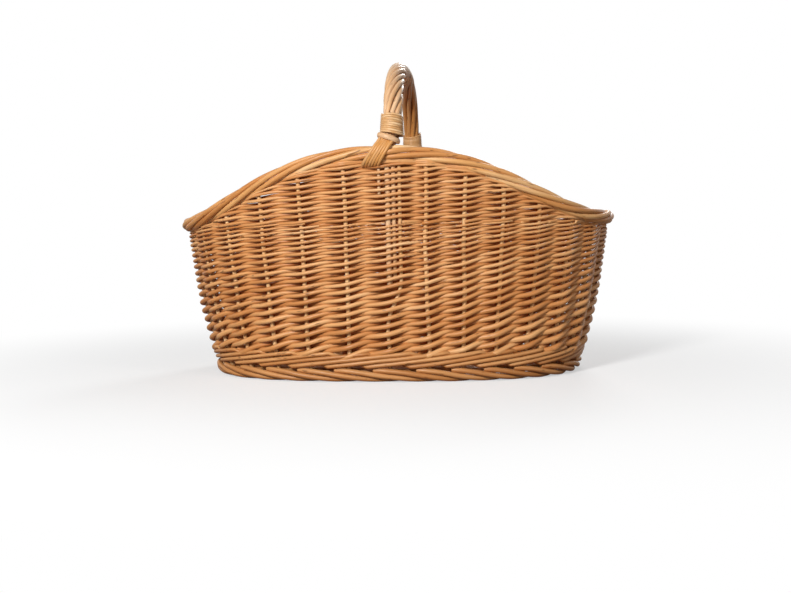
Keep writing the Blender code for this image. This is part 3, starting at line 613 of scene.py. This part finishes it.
# upsett: four rods, each outside three stakes and then behind one
upsett = {
    "rods": 4, "firstStake": 18, "bays": 30, "bottom": 0.0243, "buttRadius": 0.0036, "tipRadius": 0.0031,
    "spacing": 0.0071, "bulge": 0.0016, "frontBays": (0.5, 3.5), "behindBays": 0.62, "waver": (0.0005, 1.5),
    "underPaintedShade": 0.8, "stepsPerBay": 10, "sides": 12,
}


def upsettRod(index):
    # in front the rod climbs one rod's thickness a bay; behind the fourth stake it drops back down
    bay = np.arange(upsett["bays"] * upsett["stepsPerBay"] + 1) / upsett["stepsPerBay"]
    number = upsett["firstStake"] + index + bay
    cycle = np.mod(bay, upsett["rods"])
    low, high = upsett["frontBays"]
    climb = np.interp(cycle, (0.0, low, high, upsett["rods"]), (0.5, 0.0, 1.0, 0.5))
    rise = (upsett["rods"] - 1) * upsett["spacing"]
    height = upsett["bottom"] + rise * climb + waver(bay, *upsett["waver"])
    radius = np.interp(bay, (0.0, upsett["bays"]), (upsett["buttRadius"], upsett["tipRadius"]))
    clear = stakes["radius"] + radius
    behind = np.clip(1.0 - np.minimum(cycle, upsett["rods"] - cycle) / upsett["behindBays"], 0.0, 1.0)
    behind = behind * behind * (3.0 - 2.0 * behind)
    ahead = clear + upsett["bulge"] * np.sin(math.pi * np.clip((cycle - low) / (high - low), 0.0, 1.0))
    path = wallPlace(number, height, ahead * (1.0 - behind) - clear * behind)
    # the rod's underside gets painted shade
    return newRod(path, radius, wallNormal(number, height), under=upsett["underPaintedShade"])


for index in range(upsett["rods"]):
    makeRods("upsettRod_%d" % (index + 1), [upsettRod(index)], upsett["sides"], footPaintedShadeWillow,
             ["upsett_rod_%d" % (index + 1)], pithWillow)
print("upsett made")

# foot border: from each stake a thick rod slants down, lies under and turns in
foot = {
    "radius": 0.0044, "thicknesses": (0.93, 1.0), "floorGap": 0.0001, "underPaintedShade": 0.8,
    "sides": 12, "perSpan": 7,
    "bays": (-0.35, -0.10, 0.30, 0.80, 1.30, 1.80, 2.30, 2.80),
    "heights": (0.0182, 0.0176, 0.0150, 0.0100, 0.0062, 0.0044, 0.0057, 0.0120),
    "outs": (0.0030, 0.0062, 0.0085, 0.0085, 0.0062, 0.0010, -0.0060, -0.0100),
}


def footRod(stake):
    number = stake + np.array(foot["bays"])
    line = smoothLine(wallPlace(number, foot["heights"], foot["outs"]), foot["perSpan"])
    guide = smoothLine(wallNormal(number, foot["heights"]), foot["perSpan"])
    line[:, 2] = np.maximum(line[:, 2], foot["radius"] + foot["floorGap"])
    # the rod's underside gets painted shade
    return newRod(line, foot["radius"] * draw.uniform(*foot["thicknesses"]), guide, under=foot["underPaintedShade"])


makeRods("footBorder", [footRod(stake) for stake in range(wall["stakes"])], foot["sides"], footPaintedShadeWillow,
         ["foot_ring"], pithWillow)
print("foot border made")

# woven floor: rods round and round between sticks
floorWeave = {
    "height": 0.0163, "pitch": 0.0053, "radius": 0.0030, "lift": 0.0028, "crossings": 16, "inset": -0.0005,
    "rounds": 17, "narrowest": 0.001, "stepsPerRound": 160, "sides": 8,
}


def floorRod(index):
    # ovals that shrink by two pitches a round, lifted and dropped in turn over the sticks
    steps = floorWeave["rounds"] * floorWeave["stepsPerRound"]
    turn = np.arange(steps + 1) / floorWeave["stepsPerRound"]
    inset = floorWeave["inset"] + floorWeave["pitch"] * (2.0 * turn + index)
    x, y = unitOval(2.0 * math.pi * turn, 0.0)
    halfWidth = np.maximum(wall["halfWidths"][0] - inset, floorWeave["narrowest"])
    halfLength = wall["halfLengths"][0] - inset
    lift = floorWeave["lift"] * np.sin(math.pi * floorWeave["crossings"] * turn + math.pi * index)
    path = np.stack((x * halfLength, y * halfWidth, floorWeave["height"] + lift), axis=-1)
    return newRod(path, floorWeave["radius"], np.array([0.0, 0.0, 1.0]))


makeRods("floorWeave", [floorRod(index) for index in (0, 1)], floorWeave["sides"], weaveWillow,
         ["base_weave"], pithWillow)

sticks = {
    "long": 3, "cross": 5, "radius": 0.0042, "flat": 0.62, "endGap": 0.001, "points": 9, "sides": 10,
}


def stickRod(node):
    # a straight stick along the longest side of its CAD node's box
    low, high = (np.array(corner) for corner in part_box(node))
    axis = int(np.argmax(high - low))
    places = np.repeat((low + high)[None] / 2.0, sticks["points"], axis=0)
    start, end = low[axis] + sticks["endGap"], high[axis] - sticks["endGap"]
    places[:, axis] = np.linspace(start, end, sticks["points"])
    return newRod(places, sticks["radius"], np.array([0.0, 0.0, 1.0]), flat=sticks["flat"])


stickNodes = ["base_%s_stick_%d" % (kind, i + 1) for kind in ("long", "cross") for i in range(sticks[kind])]
for node in stickNodes:
    makeRods(node.replace("base_", "floor_"), [stickRod(node)], sticks["sides"], stakeWillow,
             [node], pithWillow)
print("floor made")

# handle: a bow, rods roped round it, bindings, collars and fans
bow = {
    "power": 2.5, "top": 0.4926, "radius": 0.0068, "neckRadius": 0.0036, "tipRadius": 0.0028,
    "legHeights": (0.165, 0.20, 0.25, 0.30), "legTop": 0.01, "fullHeight": 0.40, "archStart": 0.02,
    "archPoints": 60, "slopeStep": 0.004, "tone": 0.6, "sides": 14, "tableSteps": 4000,
}
rightward = np.array([1.0, 0.0, 0.0])
springHeight = float(rimHeight(frontStake))
halfSpan = float(np.interp(springHeight, wall["heights"], wall["halfWidths"]))


def bowTable():
    # superellipse arch over the span, with its running length as a share
    angle = np.linspace(0.0, math.pi, bow["tableSteps"] + 1)
    c, s = np.cos(angle), np.sin(angle)
    y = -halfSpan * np.sign(c) * np.abs(c) ** (2.0 / bow["power"])
    z = springHeight + (bow["top"] - springHeight) * np.abs(s) ** (2.0 / bow["power"])
    length = np.concatenate(([0.0], np.cumsum(np.hypot(np.diff(y), np.diff(z)))))
    return length / length[-1], y, z


bowShares, bowY, bowZ = bowTable()


def bowPlace(share):
    # middle of the bow at a share of its length from front to back, and its outer side
    share = np.asarray(share, float)
    y, z = np.interp(share, bowShares, bowY), np.interp(share, bowShares, bowZ)
    ahead = np.clip(share + bow["slopeStep"], 0.0, 1.0)
    behind = np.clip(share - bow["slopeStep"], 0.0, 1.0)
    dy = np.interp(ahead, bowShares, bowY) - np.interp(behind, bowShares, bowY)
    dz = np.interp(ahead, bowShares, bowZ) - np.interp(behind, bowShares, bowZ)
    size = np.hypot(dy, dz)
    zero = np.zeros_like(y)
    middle = np.stack((zero + handleAside, y, z), axis=-1)
    return middle, np.stack((zero, -dz / size, dy / size), axis=-1)


def shareAt(height):
    # the share of the bow's length at which its front half reaches the height
    half = bow["tableSteps"] // 2
    return np.interp(height, bowZ[:half], bowShares[:half])


def roundBow(share, angle, radius):
    # a place round the bow: the angle starts at its outer side and turns towards +X
    middle, outer = bowPlace(share)
    radial = outer * np.cos(angle)[..., None] + rightward * np.sin(angle)[..., None]
    return middle + radial * np.asarray(radius)[..., None], radial


def bowRod():
    # up the front wall, over the arch and down the back wall, thin in the wall and full above it
    heights = np.array([*bow["legHeights"], springHeight - bow["legTop"]])
    arch = bowPlace(np.linspace(bow["archStart"], 1.0 - bow["archStart"], bow["archPoints"]))[0]
    line = np.concatenate((besideHandle(-1.0, 0.0, heights), arch, besideHandle(1.0, 0.0, heights)[::-1]))
    radius = np.interp(line[:, 2], (bow["legHeights"][0], springHeight, bow["fullHeight"]),
                       (bow["tipRadius"], bow["neckRadius"], bow["radius"]))
    return newRod(line, radius, rightward, tone=bow["tone"])


makeRods("bowRod", [bowRod()], bow["sides"], handleWillow, ["handle_bow"], pithWillow)

# beside each leg a long rod goes up to the border, and a short stub stands further left
liners = {
    "radius": 0.0041, "bottom": 0.150, "above": 0.010, "aside": -0.0088,
    "stubRadius": 0.0024, "stubBottom": 0.290, "stubTop": 0.336, "stubAside": -0.0219,
    "points": 12, "waver": (0.0004, 0.04), "tone": 0.65, "sides": 12,
}


def linerRod(facing, aside, bottom, top, radius):
    heights = np.linspace(bottom, top, liners["points"])
    right = aside + waver(heights, *liners["waver"])
    return newRod(besideHandle(facing, right, heights), radius, rightward, tone=liners["tone"])


def linerRods(facing):
    longEnds = (liners["bottom"], springHeight + liners["above"])
    stubEnds = (liners["stubBottom"], liners["stubTop"])
    long = linerRod(facing, liners["aside"], *longEnds, liners["radius"])
    stub = linerRod(facing, liners["stubAside"], *stubEnds, liners["stubRadius"])
    return [long, stub]


for facing, end in ((-1.0, "front"), (1.0, "back")):
    makeRods("linerRod_" + end, linerRods(facing), liners["sides"], handleWillow,
             ["handle_liner_" + end], pithWillow)

rope = {
    "rods": 8, "nodes": 4, "radius": 0.0039, "thicknesses": (0.94, 1.04), "steps": 90, "sides": 12,
    "nearTurns": 2.25, "twistMarks": (0.0, 0.5, 0.7, 1.0), "twist": (1.0, 1.0, 0.25, 0.25),
    "ring": 0.0107, "ringSpread": 0.0003, "waver": (0.07, 0.12),
    "bindingBottom": 0.382, "bindingTop": 0.4085, "boundRing": 0.0100, "collarRing": 0.0086,
    "settleShare": 0.03, "boundPoints": 5,
    "tones": (0.5, 1.0), "farMarks": (0.05, 0.17), "farToneAndShade": (1.0, 0.1),
}
fan = {
    "rods": 6, "radius": 0.0027, "topAside": -0.0089, "bottomAside": -0.0345, "topSpacing": 0.0041,
    "bottomSpacing": 0.0046, "heights": (0.3322, 0.3345, 0.3390, 0.3460, 0.3550, 0.3640, 0.3705),
    "outs": (0.0020, 0.0080, 0.0132, 0.0152, 0.0154, 0.0128, 0.0080),
    "thickenHeights": (0.36, 0.40), "orangeHeights": (0.366, 0.380), "guideRise": 0.3, "skippedPoints": 2,
}
lowShare = float(shareAt(rope["bindingBottom"]))
highShare = float(shareAt(rope["bindingTop"]))


def fanLine(order, facing):
    # from under the border, up over its outside, to the leg: places beside the leg, out and high
    heights = np.array(fan["heights"])
    share = (heights - heights[0]) / (heights[-1] - heights[0])
    middle = fan["bottomAside"] + (fan["topAside"] - fan["bottomAside"]) * share
    spacing = fan["bottomSpacing"] + (fan["topSpacing"] - fan["bottomSpacing"]) * share
    right = middle + (order - (fan["rods"] - 1) / 2) * spacing
    return besideHandle(facing, right, heights, np.array(fan["outs"]))


# the rods wind evenly on the near half of the handle and more slowly on the far half
wound = np.linspace(0.0, 1.0, rope["steps"])
twist = np.interp(wound, rope["twistMarks"], rope["twist"])
spin = np.concatenate(([0.0], np.cumsum((twist[1:] + twist[:-1]) / 2.0))) / (rope["steps"] - 1)
ropeAngles = [2.0 * math.pi * (rope["nearTurns"] * spin + (index - rope["rods"] // 2) / rope["rods"])
              + waver(wound, *rope["waver"]) for index in range(rope["rods"])]


def fanOrders(facing):
    # the rods that end nearest the outer side go down into the fan, from left to right
    ends = np.array([angles[0] if facing < 0.0 else angles[-1] for angles in ropeAngles])
    ends = np.mod(ends + math.pi, 2.0 * math.pi) - math.pi
    nearest = np.argsort(np.abs(ends))[:fan["rods"]]
    inOrder = nearest[np.argsort(-facing * ends[nearest])]
    return {int(index): order for order, index in enumerate(inOrder)}


ropeOrders = {facing: fanOrders(facing) for facing in (-1.0, 1.0)}


def ropeRod(index):
    # round the bow between the bindings, and at each end down through the binding into the fan
    shares = np.linspace(highShare, 1.0 - highShare, rope["steps"])
    angles = ropeAngles[index]
    fromEnd = np.minimum(wound, 1.0 - wound)
    rings = np.interp(fromEnd, (0.0, rope["settleShare"]), (rope["boundRing"], rope["ring"]))
    line, radial = roundBow(shares, angles, rings + draw.uniform(-rope["ringSpread"], rope["ringSpread"]))
    radius = np.full(rope["steps"], rope["radius"] * draw.uniform(*rope["thicknesses"]))
    inside = np.linspace(lowShare, highShare, rope["boundPoints"] + 1)[:-1]
    skipped = fan["skippedPoints"]
    parts, guides, radii = [line], [radial], [radius]
    for facing in (-1.0, 1.0):
        front = facing < 0.0
        endAngle = angles[0] if front else angles[-1]
        legRings = np.linspace(rope["collarRing"], rope["boundRing"], rope["boundPoints"])
        leg, legRadial = roundBow(inside if front else 1.0 - inside[::-1],
                                  np.full(rope["boundPoints"], endAngle),
                                  legRings if front else legRings[::-1])
        if index in ropeOrders[facing]:
            down = fanLine(ropeOrders[facing][index], facing)
            down = down if front else down[::-1]
            leg = leg[skipped:] if front else leg[:-skipped]
            legRadial = legRadial[skipped:] if front else legRadial[:-skipped]
            leg = np.concatenate((down, leg) if front else (leg, down))
            downGuide = np.broadcast_to(np.array([0.0, facing, fan["guideRise"]]), down.shape)
            legRadial = np.concatenate((downGuide, legRadial) if front else (legRadial, downGuide))
        ends = np.interp(leg[:, 2], fan["thickenHeights"], (fan["radius"], rope["radius"]))
        parts = [leg] + parts if front else parts + [leg]
        guides = [legRadial] + guides if front else guides + [legRadial]
        radii = [ends] + radii if front else radii + [ends]
    line, guide, radius = np.concatenate(parts), np.concatenate(guides), np.concatenate(radii)
    line = smoothLine(line, 2)
    # pale on the near leg, and orange in the fans and down the far leg; darker down the far leg, partly the
    # rods' own tone and partly painted shade
    tone = draw.uniform(*rope["tones"]) * np.interp(line[:, 2], fan["orangeHeights"], (0.0, 1.0))
    # down the far leg the tone drops: partly the rods' own colour, partly painted shade
    tone = tone * np.interp(line[:, 1], rope["farMarks"], rope["farToneAndShade"])
    return newRod(line, smoothLine(radius[:, None], 2)[:, 0], smoothLine(guide, 2), tone=tone)


for index in range(rope["rods"]):
    makeRods("ropeRod_%d" % (index + 1), [ropeRod(index)], rope["sides"], handleWillow,
             ["handle_rope_%d" % (index % rope["nodes"] + 1)], pithWillow)

binding = {
    "turns": 9.4, "bottom": 0.3778, "pitch": 0.0030, "rings": (0.0172, 0.0158), "radius": 0.0017,
    "flat": 0.65, "tilts": (0.0036, 0.0010), "start": 2.6, "aside": -0.0010, "tone": 0.6,
    "perTurn": 40, "sides": 10,
}
collar = {
    "turns": 1.25, "bottom": 0.3724, "pitch": 0.0010, "rings": (0.0148, 0.0152), "radius": 0.0040,
    "flat": 0.62, "tilts": (0.0050, 0.0050), "start": -3.9, "aside": -0.0060, "tone": 0.6,
    "perTurn": 48, "sides": 12,
}


def wrap(look, facing):
    # a helix round the leg that climbs a pitch a turn, and hangs lower on its right side
    turn = np.arange(int(look["turns"] * look["perTurn"]) + 1) / look["perTurn"]
    share = turn / turn[-1]
    angle = 2.0 * math.pi * turn + look["start"]
    tilt = (look["tilts"][0] + (look["tilts"][1] - look["tilts"][0]) * share) * np.sin(angle)
    place = shareAt(look["bottom"] + turn * look["pitch"] - tilt)
    ring = look["rings"][0] + (look["rings"][1] - look["rings"][0]) * share
    line, radial = roundBow(place if facing < 0.0 else 1.0 - place, -facing * angle, ring)
    line[:, 0] -= facing * look["aside"]
    return newRod(line, look["radius"], radial, flat=look["flat"], tone=look["tone"])


for facing, end in ((-1.0, "front"), (1.0, "back")):
    makeRods("binding_skein_" + end, [wrap(binding, facing)], binding["sides"], skeinWillow,
             ["binding_" + end], pithWillow)
    makeRods("collar_" + end, [wrap(collar, facing)], collar["sides"], handleWillow,
             ["binding_" + end], pithWillow)
print("handle made")

# floor, backdrop, lights and camera
studio = {
    "floorSize": 40.0, "floorColour": 0.32, "seenColour": 0.95, "floorRoughness": 0.9,
    "nearGlow": 0.50, "glowFrom": 0.35, "glowTo": 1.1, "world": 0.07, "aim": (0.0, 0.0, 0.2),
    "lights": {  # place, size and power
        "keyLight": ((-0.85, -2.45, 1.30), 0.55, 76.0),
        "fillLight": ((1.9, -1.7, 1.3), 0.8, 9.0),
        "backLight": ((0.6, 2.3, 1.6), 0.8, 26.0),
    },
}


def paleGround():
    # a pale matt floor; to the camera it goes over into plain white away from the basket
    material = bpy.data.materials.new("paleGround")
    material.use_nodes = True
    tree = material.node_tree
    shader = tree.nodes["Principled BSDF"]
    shader.inputs["Roughness"].default_value = studio["floorRoughness"]
    glow = addNode(tree, "ShaderNodeEmission", Strength=1.0)
    path = addNode(tree, "ShaderNodeLightPath")
    paleness = addNode(tree, "ShaderNodeMapRange")
    paleness.inputs["To Min"].default_value = studio["floorColour"]
    paleness.inputs["To Max"].default_value = studio["seenColour"]
    tree.links.new(path.outputs["Is Camera Ray"], paleness.inputs["Value"])
    tree.links.new(paleness.outputs["Result"], shader.inputs["Base Color"])
    place = addNode(tree, "ShaderNodeTexCoord")
    distance = addNode(tree, "ShaderNodeVectorMath", operation="LENGTH")
    tree.links.new(place.outputs["Object"], distance.inputs[0])
    fade = addNode(tree, "ShaderNodeMapRange", interpolation_type="SMOOTHSTEP")
    setRange(fade, studio["glowFrom"], studio["glowTo"], studio["nearGlow"], 1.0)
    tree.links.new(distance.outputs["Value"], fade.inputs["Value"])
    share = addNode(tree, "ShaderNodeMath", operation="MULTIPLY")
    tree.links.new(path.outputs["Is Camera Ray"], share.inputs[0])
    tree.links.new(fade.outputs["Result"], share.inputs[1])
    mixed = addNode(tree, "ShaderNodeMixShader")
    tree.links.new(share.outputs[0], mixed.inputs["Fac"])
    tree.links.new(shader.outputs[0], mixed.inputs[1])
    tree.links.new(glow.outputs[0], mixed.inputs[2])
    tree.links.new(mixed.outputs[0], tree.nodes["Material Output"].inputs["Surface"])
    return material


bpy.ops.mesh.primitive_plane_add(size=studio["floorSize"])
ground = bpy.context.object
ground.name = "ground"
ground.data.materials.append(paleGround())

world = bpy.data.worlds.new("studio")
bpy.context.scene.world = world
world.use_nodes = True
tree = world.node_tree
sky = tree.nodes["Background"]
sky.inputs["Color"].default_value = (1.0, 1.0, 1.0, 1.0)
# plain white to the camera, in reflections and through gaps, and dim as a light
rays = addNode(tree, "ShaderNodeLightPath")
whiteRays = rays.outputs["Is Camera Ray"]
for ray in ("Is Glossy Ray", "Is Transmission Ray"):
    both = addNode(tree, "ShaderNodeMath", operation="ADD", use_clamp=True)
    tree.links.new(whiteRays, both.inputs[0])
    tree.links.new(rays.outputs[ray], both.inputs[1])
    whiteRays = both.outputs[0]
strength = addNode(tree, "ShaderNodeMapRange")
setRange(strength, 0.0, 1.0, studio["world"], 1.0)
tree.links.new(whiteRays, strength.inputs["Value"])
tree.links.new(strength.outputs["Result"], sky.inputs["Strength"])


def softLight(name, place, size, power):
    # a round lamp that looks at the aim
    light = bpy.data.lights.new(name, "AREA")
    light.shape = "DISK"
    light.size = size
    light.energy = power
    lamp = bpy.data.objects.new(name, light)
    bpy.context.scene.collection.objects.link(lamp)
    lamp.location = place
    way = np.array(studio["aim"]) - np.array(place)
    down = math.acos(-way[2] / np.linalg.norm(way))
    lamp.rotation_euler = (down, 0.0, math.atan2(way[1], way[0]) - math.pi / 2)


for name, (place, size, power) in studio["lights"].items():
    softLight(name, place, size, power)

# the photo's angle: lengths in metres and angles in degrees, the focal length and width in pixels
view = {
    "focalPixels": 1176.0, "widthPixels": 791, "distance": 1.9947, "azimuth": 4.5, "eyeHeight": 0.2627,
    "pitch": 4.106, "pan": 0.124, "roll": 0.8, "nearest": 0.05,
}
camera = bpy.data.cameras.new("camera")
camera.lens = view["focalPixels"] * camera.sensor_width / view["widthPixels"]
camera.clip_start = view["nearest"]
eye = bpy.data.objects.new("camera", camera)
bpy.context.scene.collection.objects.link(eye)
azimuth = math.radians(view["azimuth"])
eyePlace = (view["distance"] * math.sin(azimuth), -view["distance"] * math.cos(azimuth), view["eyeHeight"])
turned = Matrix.Rotation(azimuth + math.radians(view["pan"]), 4, "Z")
tilted = Matrix.Rotation(math.radians(90.0 - view["pitch"]), 4, "X")
rolled = Matrix.Rotation(-math.radians(view["roll"]), 4, "Z")
eye.matrix_world = Matrix.Translation(eyePlace) @ turned @ tilted @ rolled
bpy.context.scene.camera = eye
bpy.context.scene.view_settings.view_transform = "Standard"
print("studio made")
